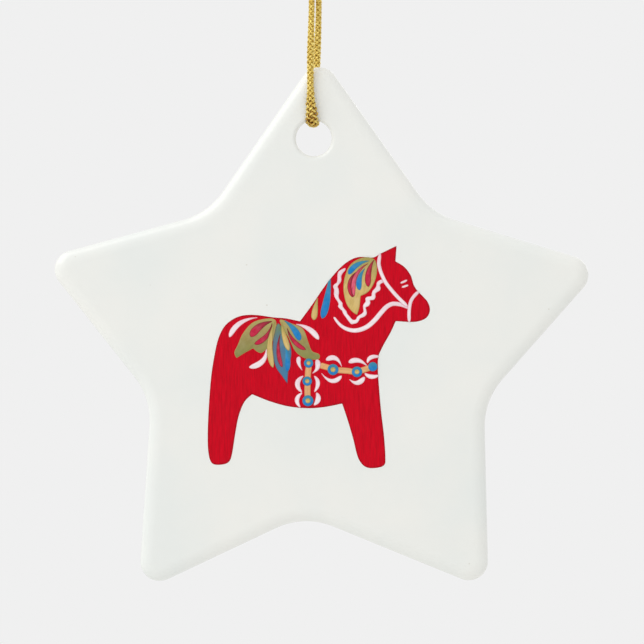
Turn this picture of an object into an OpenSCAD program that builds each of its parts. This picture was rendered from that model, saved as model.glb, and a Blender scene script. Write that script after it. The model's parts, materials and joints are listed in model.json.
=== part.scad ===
// A glazed porcelain star that hangs on a braided cord, with a folk-painted horse on its front.
// X runs to the right, Z up, and the painted face looks towards -Y.
// The origin is the place in the top of the cord loop where a hook bears.

/* [Star] */
// Distance from the star's centre to its straight-sided tips
tip_reach = 41.5; // [34:0.5:50]
// Distance from the star's centre to its straight-sided notches
notch_reach = 24.4; // [20:0.1:29]
// Thickness of the porcelain
star_t = 3; // [2.4:0.1:4]
// Radius of the round tips, seen from the front
tip_round = 2.7; // [2.3:0.1:4]
// Radius of the round notches, seen from the front
notch_round = 10; // [6:0.5:14]
// How far the softened edges reach in from the outline
edge_reach = 1.9; // [0.4:0.1:2.2]
// How deep the softened edges go, front and back
edge_depth = 1.1; // [0.4:0.05:1.15]

/* [Hanging hole] */
// Diameter of the hole
hole_d = 5; // [4:0.1:6]
// Radius of the softened lips of the hole
lip_round = 0.6; // [0.3:0.1:1.1]
// Distance of the hole's centre below the top tip's straight-sided corner
hole_drop = 11.8; // [10.5:0.1:13.5]
// Distance of the hole to the left of the star's centre
hole_left = 1.1; // [0:0.1:2]
// Height of the hook above the top edge of the hole
loop_reach = 49; // [48.9:0.1:49.2]

/* [Painted horse] */
// Length of the horse from rump to muzzle
horse_len = 31.2; // [24:0.2:36]
// Distance of the rump to the left of the star's centre
horse_left = 16; // [12:0.5:18]
// Distance of the hooves below the star's centre
hooves_down = 16.6; // [12:0.2:18]
// Thickness of the red ground
ground_h = 0.1; // [0.05:0.01:0.2]
// Thickness of each colour laid on the ground
colour_h = 0.06; // [0.03:0.01:0.12]

/* [Cord] */
// Diameter of the braided cord
cord_d = 0.85; // [0.6:0.05:1]
// Widest diameter of the knot
knot_d = 3.5; // [2.8:0.1:4.2]
// Height of the knot
knot_h = 3; // [2.4:0.1:3.6]

/* [Hidden] */

// How far each of the five tips and notches strays from a regular star, as made by hand:
// degrees to the left, then millimetres outwards. Both lists start at the top and go to the right.
TIP_STRAY = [[0.5, 0.2], [-1.3, -0.2], [-1.2, -0.4], [-1, 1.3], [0, 0]];
NOTCH_STRAY = [[-2.9, 0.3], [0.7, -0.5], [-6, -1.1], [-2.2, 0.5], [3.8, 0.6]];

ARC_STEPS = 7;      // straight pieces in each round tip and notch
EDGE_STEPS = 3;     // straight pieces across each softened edge
CURVE_STEPS = 4;    // straight pieces between two points of a painted outline
STROKE_STEPS = 18;  // straight pieces along each side of a painted stroke
LINE_STEPS = 5;     // straight pieces between two points of a painted line
CORD_SIDES = 8;
CORD_CLEAR = 0.075; // room between the cord and the star's faces
KNOT_FLAT = 2.1;    // diameter of the knot's flat top and underside
KNOT_FOOT = 1.9;    // height of the knot's underside above the hook
$fn = 64;

half_t = star_t / 2;
hole_r = hole_d / 2;
star_x = hole_left;
hole_z = -loop_reach - hole_r;
star_z = hole_z - (tip_reach - hole_drop);
unit = horse_len / 100;   // the horse is drawn 100 units long
line_w = 1.35;            // painted line, in those units

// The route of each strand, from the middle of the hole up to the knot. The lower part's distances
// from the star's middle plane are drawn for a cord 2 mm from it, and follow the star's thickness.
extra = half_t + cord_d / 2 + CORD_CLEAR - 2;
function beside(p) = [for (q = p) [q.x, q.y + extra * max(-1, min(1, q.y / 1.1)), q.z]];
FRONT_LOWER = beside([
    [-0.1, 0, -49.55], [-0.12, -0.6, -49.55], [-0.16, -1.17, -49.44], [-0.2, -1.66, -49.11],
    [-0.25, -1.99, -48.62], [-0.32, -2.1, -48.05], [-0.42, -2.06, -46.5], [-0.47, -2.02, -43.5],
    [-0.46, -2, -40.7], [-0.42, -1.75, -38.5], [-0.37, -1.15, -36], [-0.31, -0.55, -33.5],
    [-0.31, -0.15, -31], [-0.42, 0, -28.5], [-0.6, 0, -25.5]
]);
BACK_LOWER = beside([
    [-0.1, 0, -49.55], [-0.04, 0.6, -49.55], [0.04, 1.17, -49.44], [0.12, 1.66, -49.11],
    [0.22, 1.99, -48.62], [0.3, 2.1, -48.05], [0.36, 2.06, -46.5], [0.4, 2.02, -43.5],
    [0.44, 2, -40.7], [0.52, 1.75, -38.5], [0.62, 1.15, -36], [0.68, 0.55, -33.5],
    [0.7, 0.15, -31], [0.66, 0, -28.5], [0.6, 0, -25.5]
]);
FRONT_UPPER = [
    [-0.6, 0, -25.5], [-0.72, 0, -20.5], [-0.9, 0, -14.5], [-1.1, 0, -8.5], [-1.25, 0, -4.5],
    [-1.33, 0, -2.1], [-1.2, 0, -0.6], [-0.8, 0, 0.3], [-0.52, 0, 1.1], [-0.48, 0, 1.9]
];
BACK_UPPER = [for (p = FRONT_UPPER) [-p.x, p.y, p.z]];
TAIL_LEFT = [
    [-0.48, 0, 4.9], [-0.52, 0, 5.6], [-0.8, -0.1, 7.2], [-1.3, -0.2, 9], [-1.9, -0.2, 10.8]
];
TAIL_RIGHT = [
    [0.48, 0, 4.9], [0.55, 0, 5.6], [0.9, 0.2, 7], [1.5, 0.5, 8.6], [2.2, 0.9, 10]
];

// ---- Curves ----

function unit_of(v) = v / norm(v);
function at(list, i) = list[(i + len(list)) % len(list)];

// A point on the smooth curve through b and c, at t from 0 to 1
function smooth_at(a, b, c, d, t) =
    b + 0.5 * t * (c - a + t * (2 * a - 5 * b + 4 * c - d + t * (3 * (b - c) + d - a)));

// A closed outline through points; a point given twice is a sharp corner
function outline(p) = [
    for (i = [0:len(p) - 1])
        if (p[i] != at(p, i + 1))
            for (k = [0:CURVE_STEPS - 1])
                smooth_at(at(p, i - 1), p[i], at(p, i + 1), at(p, i + 2), k / CURVE_STEPS)
];

// An open line through points, with steps pieces between each two
function line_through(p, steps) = concat([
    for (i = [0:len(p) - 2], k = [0:steps - 1])
        smooth_at(p[max(i - 1, 0)], p[i], p[i + 1], p[min(i + 2, len(p) - 1)], k / steps)
], [p[len(p) - 1]]);

// The direction of a row of points at its place i
function heading(p, i) = unit_of(p[min(i + 1, len(p) - 1)] - p[max(i - 1, 0)]);
function left_of(v) = [-v.y, v.x];

// A band along the row of points p, whose half widths are in w
function band(p, w) = concat(
    [for (i = [0:len(p) - 1]) p[i] + w[i] * left_of(heading(p, i))],
    [for (i = [len(p) - 1:-1:0]) p[i] - w[i] * left_of(heading(p, i))]
);

// Half width of a brush drop, from its pointed start at t = 0 to its round end at t = 1
DROP_WIDEST = 0.74;
DROP_START = 0.12;
function drop(t) = t < DROP_WIDEST
    ? DROP_START + (1 - DROP_START) * pow(sin(90 * t / DROP_WIDEST), 1.2)
    : sqrt(max(0.02, 1 - pow((t - DROP_WIDEST) / (1 - DROP_WIDEST), 2)));

// A brush drop from a, bending towards b, to c, and w wide
function stroke(a, b, c, w) =
    let (p = [for (i = [0:STROKE_STEPS])
                  let (t = i / STROKE_STEPS) pow(1 - t, 2) * a + 2 * t * (1 - t) * b + t * t * c])
    band(p, [for (i = [0:STROKE_STEPS]) w / 2 * drop(i / STROKE_STEPS)]);

// A painted line of even width; blunt goes from 0.12 for round ends to 1 for square ones
function painted_line(points, w, blunt = 0.12) =
    let (p = line_through(points, LINE_STEPS), n = len(p) - 1, r = w / 2)
    band(p, [for (i = [0:n]) r * sqrt(min(1, blunt + 1.6 * min(i, n - i) / LINE_STEPS))]);

// A painted line that swells to its full width and thins towards its last point
function thinning_line(points, w) =
    let (p = line_through(points, LINE_STEPS), n = len(p) - 1)
    band(p, [for (i = [0:n]) w / 2 * (0.35 + 0.65 * pow(sin(180 * (0.12 + 0.88 * i / n)), 0.6))]);

// A crescent scroll from a over b to c, fullest near its middle
function scroll(a, b, c, w) =
    let (n = STROKE_STEPS,
         p = [for (i = [0:n]) let (t = i / n)
                  pow(1 - t, 2) * a + 2 * t * (1 - t) * (2 * b - (a + c) / 2) + t * t * c])
    band(p, [for (i = [0:n]) w / 2 * (0.22 + 0.78 * pow(sin(180 * i / n), 0.8))]);

// ---- The star's outline ----

function on_circle(r, degrees) = r * [cos(degrees), sin(degrees)];

// Straight-sided corners, tip and notch in turn, to the right from the top
CORNERS = [
    for (i = [0:4], tip = [1, 0])
        tip == 1
            ? on_circle(tip_reach + TIP_STRAY[i][1], 90 - 72 * i + TIP_STRAY[i][0])
            : on_circle(notch_reach + NOTCH_STRAY[i][1], 54 - 72 * i + NOTCH_STRAY[i][0])
];

// The outline with every corner rounded, moved inwards by inset
function star_outline(inset) = [
    for (i = [0:9])
        let (tip = i % 2 == 0,
             r = tip ? tip_round : notch_round,
             q = CORNERS[i],
             u = unit_of(at(CORNERS, i - 1) - q),
             v = unit_of(at(CORNERS, i + 1) - q),
             half = acos(u * v) / 2,
             mid = unit_of(u + v),
             centre = q + mid * r / sin(half),
             turn = 90 - half,
             start = atan2(-mid.y, -mid.x) + (tip ? turn : -turn),
             reach = tip ? r - inset : r + inset)
        for (k = [0:ARC_STEPS])
            centre + on_circle(reach, start + (tip ? -2 : 2) * turn * k / ARC_STEPS)
];

// ---- Shared shapes ----

function middle(ring) = [for (axis = [0:2]) [for (p = ring) p[axis]] * [for (p = ring) 1 / len(ring)]];

// A closed solid through rings of points, with the same count in each.
// Each end is a fan from its middle, which suits an outline that goes once round that middle.
module skin(rings) {
    n = len(rings[0]);
    m = len(rings);
    points = concat([for (ring = rings) for (p = ring) p], [middle(rings[0]), middle(rings[m - 1])]);
    sides = [
        for (i = [0:m - 2], j = [0:n - 1])
            [i * n + j, i * n + (j + 1) % n, (i + 1) * n + (j + 1) % n, (i + 1) * n + j]
    ];
    first = [for (j = [0:n - 1]) [m * n, (j + 1) % n, j]];
    last = [for (j = [0:n - 1]) [m * n + 1, (m - 1) * n + j, (m - 1) * n + (j + 1) % n]];
    polyhedron(points, concat(first, sides, last));
}

// A ring of points round p, square to the direction d, wound so that skin() closes outwards
function cord_ring(p, d) =
    let (across = unit_of(cross(d, [1, 0, 0])), side = cross(across, d))
    [for (j = [0:CORD_SIDES - 1])
         let (a = 360 * j / CORD_SIDES) p + cord_d / 2 * (cos(a) * side - sin(a) * across)];

// A cord along the points; its two end faces are square to first and last
module tube(points, first, last) {
    p = line_through(points, 2);
    n = len(p) - 1;
    skin([for (i = [0:n]) cord_ring(p[i], i == 0 ? first : i == n ? last : heading(p, i))]);
}

// Moves shapes drawn round the star's centre onto its front, lifted by height
module on_front(height) {
    translate([star_x, -half_t - height, star_z]) rotate([90, 0, 0]) children();
}

// Layer 1 is the red ground; each next layer lies on the one before it
function layer_floor(layer) = layer == 1 ? 0 : ground_h + (layer - 2) * colour_h;

// Paints the horse's own shapes, in its units, as one layer
module paint(layer) {
    on_front(layer_floor(layer))
        linear_extrude(layer == 1 ? ground_h : colour_h)
            translate([-horse_left, -hooves_down]) scale(unit) children();
}

module strokes(list) {
    for (s = list) polygon(stroke(s[0], s[1], s[2], s[3]));
}

module lines(list, w = line_w, blunt = 0.12) {
    for (p = list) polygon(painted_line(p, w, blunt));
}

module scrolls(list) {
    for (s = list) polygon(scroll(s[0], s[1], s[2], s[3]));
}

// ---- The star ----

module hanging_hole() {
    translate([0, 0, hole_z]) rotate([90, 0, 0]) {
        cylinder(r = hole_r, h = star_t + 2, center = true);
        for (side = [0, 1]) mirror([0, 0, side]) translate([0, 0, half_t - lip_round])
            rotate_extrude() difference() {
                square([hole_r + lip_round, lip_round + 0.5]);
                translate([hole_r + lip_round, 0]) circle(lip_round);
            }
    }
}

module star_body() {
    // Each ring of the softened edge: how far in, and how far from the middle
    edge = [for (k = [EDGE_STEPS:-1:0]) let (a = 90 * k / EDGE_STEPS)
                [edge_reach * (1 - cos(a)), half_t - edge_depth * (1 - sin(a))]];
    rings = concat([for (e = edge) [e[0], -e[1]]], [for (i = [EDGE_STEPS:-1:0]) edge[i]]);
    color([0.94, 0.94, 0.92]) difference() {
        translate([star_x, 0, star_z])
            skin([for (g = rings) [for (p = star_outline(g[0])) [p.x, g[1], p.y]]]);
        hanging_hole();
    }
}

// ---- The horse's ground, in units of a hundredth of its length ----

module horse_shape() {
    polygon(outline([
        [85, 100], [85, 100], [84.5, 93], [84.5, 93], [88.5, 90.5], [91.4, 86.6], [92.7, 82.4], [94.6, 79.5],
        [97.1, 77], [99, 74.7], [100, 71.7], [99.4, 68.9], [97.2, 66.8], [92.6, 65.7], [84.6, 66.1], [84.6, 66.1],
        [82.3, 61], [79.2, 55.5], [77, 51], [77, 51], [76.6, 47.5], [76.8, 40.5], [78, 26], [79.3, 15],
        [80, 4.5], [79.3, 1.2], [75.5, 0], [71, 0.5], [67.7, 4.5], [65.5, 13], [63, 21.5],
        [60.5, 29], [60.5, 29], [53, 27.5], [45.5, 26.9], [36.5, 27.7], [28, 30], [20, 33.2], [20, 33.2],
        [16.5, 29.7], [14, 23.5], [12.5, 16], [11, 6.5], [9.5, 2.7], [6, 1.5], [2, 2.1],
        [0.4, 6.5], [0, 14.5], [0.5, 27.5], [1.5, 40.5], [3, 50.5], [4.9, 58.6], [8, 64.3],
        [13, 67.8], [18, 68.9], [23.5, 68.7], [29.5, 67.8], [35.5, 67.3], [41.5, 66], [41.5, 66],
        [47, 73.5], [53, 82.3], [59, 89.5], [64, 93.5], [68.5, 95], [74.3, 94.7], [78, 96.6]
    ]));
}

module horse_ground() {
    color([0.78, 0.05, 0.16]) paint(1) horse_shape();
}

// ---- The saddle flower ----

module leaf_rear_shape() {
    polygon(outline([
        [29, 67.3], [21, 65.9], [16, 60.8], [13.6, 55.5], [12, 52], [13, 49.5], [13, 49.5], [17, 52],
        [20.5, 53.9], [20.5, 53.9], [22.5, 52.2], [25, 52.2], [29.5, 57.5], [31, 64.5]
    ]));
}

module leaf_front_shape() {
    polygon(outline([
        [32.5, 66.8], [38, 65], [43, 62.5], [45.5, 56], [47, 52.6], [50.2, 51.2], [49.7, 48.9],
        [44, 49.3], [39.5, 52.5], [36.5, 58.5], [34, 62.5]
    ]));
}

module leaf_middle_shape() {
    polygon(outline([
        [31.7, 65.2], [30.2, 61], [29.3, 56], [29.4, 50.5], [30.8, 45.2], [33.3, 41.6],
        [35.9, 37.9], [35.9, 37.9], [36.3, 43.5], [37.2, 48], [37.7, 52], [36.8, 56.5], [34.5, 61.5]
    ]));
}

module saddle_leaf_rear() {
    color([0.55, 0.6, 0.3]) paint(2) difference() {
        leaf_rear_shape();
        leaf_middle_shape();
    }
}

module saddle_leaf_front() {
    color([0.52, 0.6, 0.3]) paint(2) difference() {
        leaf_front_shape();
        leaf_middle_shape();
    }
}

module saddle_leaf_middle() {
    color([0.4, 0.6, 0.6]) paint(2) leaf_middle_shape();
}

module saddle_petals_white() {
    color([0.96, 0.9, 0.92]) paint(2) difference() {
        strokes([
            [[22.4, 67.7], [12.6, 66.8], [9.8, 58.8], 2.4],
            [[39.7, 64.7], [46.4, 63.7], [50, 57.8], 2.5],
            [[26.4, 54.6], [27.2, 46.6], [18.6, 45.3], 2.6]
        ]);
        leaf_rear_shape();
        leaf_front_shape();
    }
}

module petals_ochre_shape() {
    strokes([
        [[30.4, 66], [26, 56], [29.4, 45.2], 2.7],
        [[33.3, 65.6], [34, 59.6], [36.6, 52.8], 2.5]
    ]);
}

module petals_crimson_shape() {
    strokes([
        [[29, 66], [22.4, 64.6], [19.4, 59], 3.5],
        [[29, 65.2], [28, 58.4], [21, 55.7], 2.4],
        [[32.7, 60.4], [30.4, 52.6], [33.6, 45.3], 2],
        [[35.8, 63], [37.4, 56.4], [44.2, 53.2], 2.1]
    ]);
}

module petals_blue_shape() {
    strokes([
        [[34.5, 66.4], [39.8, 62.8], [41.5, 57.3], 3],
        [[34.4, 55.2], [36.8, 50.6], [35.6, 43.2], 2.6]
    ]);
}

module saddle_petals_ochre() {
    color([0.8, 0.7, 0.36]) paint(3) petals_ochre_shape();
}

module saddle_petals_crimson() {
    color([0.68, 0.12, 0.26]) paint(3) difference() {
        petals_crimson_shape();
        petals_ochre_shape();
    }
}

module saddle_petals_blue() {
    color([0.16, 0.56, 0.76]) paint(3) difference() {
        petals_blue_shape();
        petals_ochre_shape();
        petals_crimson_shape();
    }
}

// ---- The neck and the mane ----

module neck_dash_blue() {
    color([0.16, 0.56, 0.76]) paint(2) intersection() {
        strokes([[[55.2, 88], [54.2, 75.2], [51.5, 67.3], 3.4]]);
        horse_shape();
    }
}

module neck_dash_ochre() {
    color([0.8, 0.7, 0.36]) paint(2) strokes([[[49.5, 76.5], [48.1, 71.2], [47.8, 66.6], 2.8]]);
}

module mane_leaf() {
    color([0.8, 0.7, 0.36]) paint(2) polygon(outline([
        [74.8, 94.1], [69.4, 94.6], [64.2, 91.5], [61.7, 86], [61.1, 80], [62.4, 74], [64.9, 70.5],
        [67.2, 68.9], [67.2, 68.9], [68.3, 72.4], [68.8, 77.4], [68.8, 77.4], [72.4, 79.4],
        [75.2, 84], [76.2, 89.5]
    ]));
}

module mane_blue_shape() {
    strokes([
        [[72.6, 93.2], [66, 92.4], [63.4, 87.1], 2.6],
        [[70.8, 89.8], [67, 85.6], [68.4, 80], 2.6]
    ]);
}

module mane_pink_shape() {
    strokes([[[72.2, 92], [63.9, 87.6], [65.9, 77.2], 2.1]]);
}

module mane_petals_blue() {
    color([0.16, 0.56, 0.76]) paint(3) mane_blue_shape();
}

module mane_petal_pink() {
    color([0.85, 0.35, 0.5]) paint(3) difference() {
        mane_pink_shape();
        mane_blue_shape();
    }
}

module mane_petal_crimson() {
    color([0.68, 0.12, 0.26]) paint(3) difference() {
        strokes([
            [[74.9, 93.6], [71.4, 89], [72.3, 81.5], 2.8],
            [[67.6, 88.6], [62, 84.4], [65.5, 76.8], 2.7]
        ]);
        mane_blue_shape();
        mane_pink_shape();
    }
}

// A scalloped line beside the mane leaf, with long waves on its left and short ones on its right:
// first its outer side, down and up to the cheek band, and then its inner side, back to its tip
module mane_border() {
    color([0.96, 0.9, 0.92]) paint(2) difference() {
        polygon(outline([
            [61.9, 90], [60, 89.2], [58.9, 88.4], [58.4, 87], [58.4, 85.3], [58.1, 83.5], [57, 82.7],
            [56.4, 81.6], [56.9, 80.2], [56.8, 78.5], [57.1, 77], [57.8, 75.8], [58.6, 74.6], [58.9, 73.6],
            [58.6, 72.7], [59.5, 71.6], [60.5, 70.7], [60.8, 69.8], [61.7, 68.4], [62.7, 67], [63.6, 65.8],
            [64.7, 64.7], [65.8, 64.9], [67.1, 65.2], [68, 66.2], [68.5, 67.3], [69.6, 67.7], [70.9, 68.4],
            [71.6, 69.5], [71.4, 71], [71.1, 72.3], [71.9, 72.6], [72.7, 73.2], [73.2, 74.4], [73, 75.4],
            [73.8, 75.5], [74.9, 75.8], [75.5, 76.9], [75.5, 78.5], [76.3, 79.2], [77.5, 79.9], [77.8, 81],
            [77.5, 82.1], [77.9, 82.9], [79.4, 83.6], [79.4, 83.6], [78.6, 85], [78.6, 85], [77.4, 84.5],
            [76.5, 83.9], [76, 83], [75.9, 81.9], [75.2, 80.8], [74.2, 79.7], [73.8, 78.5], [73.7, 77.4],
            [72.8, 77.2], [71.6, 77], [70.9, 76.1], [71.1, 75], [70.4, 74], [69.9, 73], [70, 71.6],
            [70.1, 70.3], [69.2, 69.4], [67.9, 68.6], [67.1, 67.8], [66.8, 67], [66, 66.6], [65, 66.9],
            [63.9, 68.2], [62.8, 69.5], [62.4, 70.6], [61.4, 71.8], [60.7, 73], [60.7, 74.1], [60, 75.1],
            [59.2, 76.2], [58.9, 77.5], [59.1, 78.9], [58.9, 80.6], [58.5, 81.6], [59, 82.5], [59.8, 83.5],
            [60.2, 84.6], [60.1, 86.2], [60.7, 87.6], [61.9, 89]
        ]));
        cheek_band_shape();
    }
}

// ---- The bridle and the eye ----

module nose_band_shape() {
    lines([[[95.2, 79.7], [92.9, 77.4], [91.4, 75], [90.8, 72.2], [90.6, 69.2], [90.7, 65.5]]], 1.55);
}

module cheek_band_shape() {
    lines([[
        [77.6, 96.6], [77, 92.4], [77.4, 89.9], [78.2, 87.4], [80.1, 83.5], [83.1, 79.6], [86.8, 75.6], [89.9, 72.8]
    ]], 1.65);
}

module bridle_nose_band() {
    color([0.96, 0.9, 0.92]) paint(2) intersection() {
        nose_band_shape();
        horse_shape();
    }
}

module bridle_cheek_band() {
    color([0.96, 0.9, 0.92]) paint(2) difference() {
        intersection() {
            cheek_band_shape();
            horse_shape();
        }
        nose_band_shape();
    }
}

module bridle_rein() {
    color([0.96, 0.9, 0.92]) paint(2) difference() {
        polygon(thinning_line([
            [90.4, 72.2], [87, 73.5], [83.4, 73.9], [80.6, 72.6], [78, 69.9], [75.4, 66.8],
            [72.2, 63.9], [68.8, 62.3], [65.4, 61.9], [62, 62.8], [59.2, 64.8], [56.8, 67.9]
        ], 2.15));
        nose_band_shape();
        cheek_band_shape();
    }
}

module eye_strokes() {
    color([0.96, 0.9, 0.92]) paint(2)
        lines([[[86.7, 83.2], [88.2, 83.8], [89.8, 84.6]], [[87.3, 81.3], [88.8, 81.8], [90.3, 82.3]]], 0.95);
}

// ---- The harness ----

// Each ring's place and radius
GIRTH_RINGS = [[45.4, 47.2, 2.1], [44.8, 39.1, 2.15], [45.1, 30.3, 2.5]];
BREAST_RINGS = [[56.4, 44.3, 2.5], [67.2, 43.3, 2.4], [74.3, 45.6, 2.1]];
RING_CENTRE = 0.46; // radius of a ring's centre, as a share of the ring's

module girth_strap_shape() {
    lines([[[45.5, 45.8], [45.1, 42], [44.9, 36], [45, 31.4]]], 2.8, 0.8);
}

module breast_strap_shape() {
    lines([[[50.7, 46.2], [54.2, 45.2], [57.5, 44.2], [62.3, 43.8], [67.2, 43.4], [73.4, 45.3]]], 2.7, 0.8);
}

module girth_strap() {
    color([0.88, 0.66, 0.36]) paint(2) girth_strap_shape();
}

module breast_strap() {
    color([0.88, 0.66, 0.36]) paint(2) breast_strap_shape();
}

module harness_rings() {
    color([0.16, 0.56, 0.76]) paint(3)
        for (c = concat(GIRTH_RINGS, BREAST_RINGS)) translate([c.x, c.y]) circle(c.z);
}

module ring_centres() {
    // The last ring, on the horse's edge, has none
    color([0.8, 0.7, 0.36]) paint(4)
        for (c = concat(GIRTH_RINGS, [BREAST_RINGS[0], BREAST_RINGS[1]]))
            translate([c.x, c.y]) circle(RING_CENTRE * c.z);
}

module girth_scrolls() {
    color([0.96, 0.9, 0.92]) paint(2) difference() {
        union() {
            strokes([
                [[42.6, 43.9], [39.9, 47.9], [41.4, 50.1], 2],
                [[47.1, 42.6], [51, 45.2], [48.9, 48.9], 2.4]
            ]);
            scrolls([
                [[43, 41.4], [40.4, 38], [42.4, 34.1], 2.3],
                [[42.5, 33.8], [40.2, 30.8], [41.7, 27.3], 2],
                [[47.9, 41.4], [49.6, 38.2], [48, 34.2], 1.9],
                [[48.9, 33.9], [49.7, 31], [47.8, 28.3], 2.4]
            ]);
        }
        leaf_front_shape();
        girth_strap_shape();
        breast_strap_shape();
    }
}

module breast_scrolls() {
    color([0.96, 0.9, 0.92]) paint(2) difference() {
        intersection() {
            union() {
                strokes([
                    [[60.3, 45.6], [58, 51.8], [53.2, 48.5], 2.3],
                    [[51.2, 42.7], [56, 36.2], [60.3, 41.6], 2.1],
                    [[72, 45.6], [67.8, 50.3], [63.4, 47.4], 2.3],
                    [[63.7, 40], [67.6, 36.2], [70.6, 41], 2.3]
                ]);
                scrolls([
                    [[71.9, 47.2], [73.5, 49.8], [77.8, 50], 1.9],
                    [[70.7, 42.7], [73.5, 41.1], [77.2, 41.8], 2]
                ]);
            }
            horse_shape();
        }
        breast_strap_shape();
    }
}

// ---- The cord ----

CORD_COLOUR = [0.82, 0.66, 0.22];
UP = [0, 0, 1];
AWAY = [0, -1, 0];

module cord_front_lower() {
    color(CORD_COLOUR) tube(FRONT_LOWER, AWAY, UP);
}

module cord_back_lower() {
    color(CORD_COLOUR) tube(BACK_LOWER, -AWAY, UP);
}

module cord_front_upper() {
    color(CORD_COLOUR) tube(FRONT_UPPER, UP, UP);
}

module cord_back_upper() {
    color(CORD_COLOUR) tube(BACK_UPPER, UP, UP);
}

// The lump of the overhand knot, as one solid of revolution with a flat top and underside
module cord_knot() {
    swell = (knot_d - KNOT_FLAT) / 2;
    color(CORD_COLOUR) translate([0, 0, KNOT_FOOT]) rotate_extrude()
        polygon(concat([[0, 0]],
            [for (i = [0:12]) [KNOT_FLAT / 2 + swell * sin(15 * i), knot_h * (1 - cos(15 * i)) / 2]],
            [[0, knot_h]]));
}

module cord_tail_left() {
    color(CORD_COLOUR) tube(TAIL_LEFT, UP, heading(TAIL_LEFT, len(TAIL_LEFT) - 1));
}

module cord_tail_right() {
    color(CORD_COLOUR) tube(TAIL_RIGHT, UP, heading(TAIL_RIGHT, len(TAIL_RIGHT) - 1));
}

star_body();
horse_ground();
saddle_leaf_rear();
saddle_leaf_front();
saddle_leaf_middle();
saddle_petals_white();
saddle_petals_crimson();
saddle_petals_ochre();
saddle_petals_blue();
neck_dash_blue();
neck_dash_ochre();
mane_leaf();
mane_petals_blue();
mane_petal_pink();
mane_petal_crimson();
mane_border();
bridle_cheek_band();
bridle_nose_band();
bridle_rein();
eye_strokes();
girth_strap();
breast_strap();
harness_rings();
ring_centres();
girth_scrolls();
breast_scrolls();
cord_front_lower();
cord_back_lower();
cord_front_upper();
cord_back_upper();
cord_knot();
cord_tail_left();
cord_tail_right();
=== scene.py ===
"""A glazed porcelain star with a folk-painted horse, hanging on a loop of gold braid."""

import json
import math

import bmesh
import bpy
import numpy as np
from bpy.props import FloatProperty, FloatVectorProperty, IntProperty, PointerProperty
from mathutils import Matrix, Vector
from mathutils.geometry import delaunay_2d_cdt


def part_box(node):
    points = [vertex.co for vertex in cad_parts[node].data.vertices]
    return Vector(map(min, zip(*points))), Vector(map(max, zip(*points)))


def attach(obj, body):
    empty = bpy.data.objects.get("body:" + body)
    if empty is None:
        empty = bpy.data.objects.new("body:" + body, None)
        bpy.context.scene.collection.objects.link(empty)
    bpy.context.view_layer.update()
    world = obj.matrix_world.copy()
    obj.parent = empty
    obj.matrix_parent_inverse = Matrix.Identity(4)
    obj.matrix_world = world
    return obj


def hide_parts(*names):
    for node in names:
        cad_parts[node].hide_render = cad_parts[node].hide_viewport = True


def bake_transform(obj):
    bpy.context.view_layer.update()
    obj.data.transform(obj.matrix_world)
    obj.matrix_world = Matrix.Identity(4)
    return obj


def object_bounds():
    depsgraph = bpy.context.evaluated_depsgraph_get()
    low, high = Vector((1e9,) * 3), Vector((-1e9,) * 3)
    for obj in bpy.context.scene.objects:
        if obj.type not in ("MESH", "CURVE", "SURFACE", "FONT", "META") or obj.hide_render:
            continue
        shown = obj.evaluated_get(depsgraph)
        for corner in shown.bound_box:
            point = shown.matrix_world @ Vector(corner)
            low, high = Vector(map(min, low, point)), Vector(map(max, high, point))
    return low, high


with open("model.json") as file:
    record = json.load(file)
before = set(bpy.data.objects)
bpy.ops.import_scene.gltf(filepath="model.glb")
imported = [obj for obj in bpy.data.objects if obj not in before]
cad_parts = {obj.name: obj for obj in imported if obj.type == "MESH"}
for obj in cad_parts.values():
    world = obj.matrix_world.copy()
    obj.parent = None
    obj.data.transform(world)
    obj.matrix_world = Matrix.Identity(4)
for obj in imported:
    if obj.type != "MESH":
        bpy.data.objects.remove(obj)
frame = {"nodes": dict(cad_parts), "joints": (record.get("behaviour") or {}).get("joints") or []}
CAD_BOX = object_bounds()

bl_info = {
    "name": "Painted Star Ornament",
    "version": (1, 0, 0),
    "blender": (4, 5, 0),
    "location": "View3D > Sidebar > Star Ornament",
    "description": "Makes a porcelain star ornament with a painted horse on a gold cord",
    "category": "Add Mesh",
}

MM = 0.001
TURN = 2 * math.pi

HOLE = np.array(next(j["pos_m"] for j in frame["joints"] if j["name"] == "star_swing"), float)
FACE_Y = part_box("star_body")[0][1]  # the star's painted face
BACK_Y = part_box("star_body")[1][1]

# Each painted node with its colour
PAINTED = {
    "horse_ground": "red",
    "saddle_leaf_rear": "green",
    "saddle_leaf_front": "green",
    "saddle_leaf_middle": "teal",
    "saddle_petals_white": "white",
    "saddle_petals_crimson": "crimson",
    "saddle_petals_ochre": "ochre",
    "saddle_petals_blue": "blue",
    "neck_dash_blue": "blue",
    "neck_dash_ochre": "ochre",
    "mane_leaf": "ochre",
    "mane_petals_blue": "blue",
    "mane_petal_pink": "pink",
    "mane_petal_crimson": "crimson",
    "mane_border": "white",
    "bridle_cheek_band": "white",
    "bridle_nose_band": "white",
    "bridle_rein": "white",
    "eye_strokes": "white",
    "girth_strap": "amber",
    "breast_strap": "amber",
    "harness_rings": "blue",
    "ring_centres": "ochre",
    "girth_scrolls": "white",
    "breast_scrolls": "white",
}

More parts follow.
